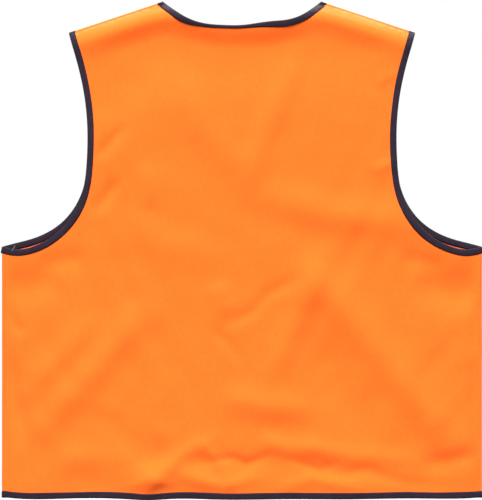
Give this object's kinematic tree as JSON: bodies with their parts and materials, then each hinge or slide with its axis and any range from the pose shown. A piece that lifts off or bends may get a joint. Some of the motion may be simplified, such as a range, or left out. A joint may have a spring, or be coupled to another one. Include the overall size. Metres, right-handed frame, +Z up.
{
  "type": "field vest",
  "caption": "Sleeveless blaze orange field vest with dark bound edges, a separable front zipper and flap pockets, hanging open-necked.",
  "frame": {"origin": "hanger seat: the middle of the line between the two neck points, at the top of the vest", "axes": "+Z up, along the hanging vest; the front faces -Y; +X towards the wearer's left"},
  "size_m": [0.66, 0.0623, 0.6822],
  "materials": {
    "orange_cloth": "matte",
    "binding": "matte",
    "zipper_tape": "matte",
    "zipper_plastic": "satin",
    "slider_metal": "satin",
    "hook_and_loop": "matte",
    "label": "satin"
  },
  "bodies": {
    "shell": {"back_panel": "orange_cloth", "back_neck_binding": "binding", "back_hem_binding": "binding", "size_label": "label", "left_side_panel": "orange_cloth", "left_armhole_binding": "binding", "left_shoulder_seam": "orange_cloth", "left_side_seam": "orange_cloth", "right_side_panel": "orange_cloth", "right_armhole_binding": "binding", "right_shoulder_seam": "orange_cloth", "right_side_seam": "orange_cloth"},
    "left_front": {"left_front_panel": "orange_cloth", "left_neck_binding": "binding", "left_hem_binding": "binding", "left_zipper_tape": "zipper_tape", "left_zipper_teeth": "zipper_plastic", "left_top_stop": "zipper_plastic", "left_pocket_pouch": "orange_cloth", "left_loop_patch": "hook_and_loop", "retaining_box": "zipper_plastic", "box_pin": "zipper_plastic"},
    "right_front": {"right_front_panel": "orange_cloth", "right_neck_binding": "binding", "right_hem_binding": "binding", "right_zipper_tape": "zipper_tape", "right_zipper_teeth": "zipper_plastic", "right_top_stop": "zipper_plastic", "right_pocket_pouch": "orange_cloth", "right_loop_patch": "hook_and_loop", "insertion_pin": "zipper_plastic"},
    "slider": {"zipper_slider": "slider_metal"},
    "pull": {"pull_tab": "slider_metal"},
    "left_flap": {"left_pocket_flap": "orange_cloth", "left_flap_binding": "binding", "left_hook_patch": "hook_and_loop"},
    "right_flap": {"right_pocket_flap": "orange_cloth", "right_flap_binding": "binding", "right_hook_patch": "hook_and_loop"}
  },
  "joints": [
    {"name": "left_front_swing", "type": "hinge", "parent": "shell", "child": "left_front", "pos_m": [0.108, -0.0036, 0], "axis": [-0.3099, 0, 0.9508], "range_deg": [0, 75]},
    {"name": "right_front_swing", "type": "hinge", "parent": "shell", "child": "right_front", "pos_m": [-0.108, -0.0036, 0], "axis": [-0.3099, 0, -0.9508], "range_deg": [0, 75]},
    {"name": "zipper_slide", "type": "slide", "parent": "left_front", "child": "slider", "axis": [0, 0, 1], "range_m": [0, 0.5035]},
    {"name": "pull_swing", "type": "hinge", "parent": "slider", "child": "pull", "pos_m": [0.003, -0.02695, -0.6502], "axis": [-1, 0, 0], "range_deg": [0, 160]},
    {"name": "left_flap_lift", "type": "hinge", "parent": "left_front", "child": "left_flap", "pos_m": [0.12517, -0.016, -0.44], "axis": [-0.9969, -0.0791, 0], "range_deg": [0, 120]},
    {"name": "right_flap_lift", "type": "hinge", "parent": "right_front", "child": "right_flap", "pos_m": [-0.12517, -0.016, -0.44], "axis": [-0.9969, 0.0791, 0], "range_deg": [0, 120]}
  ]
}
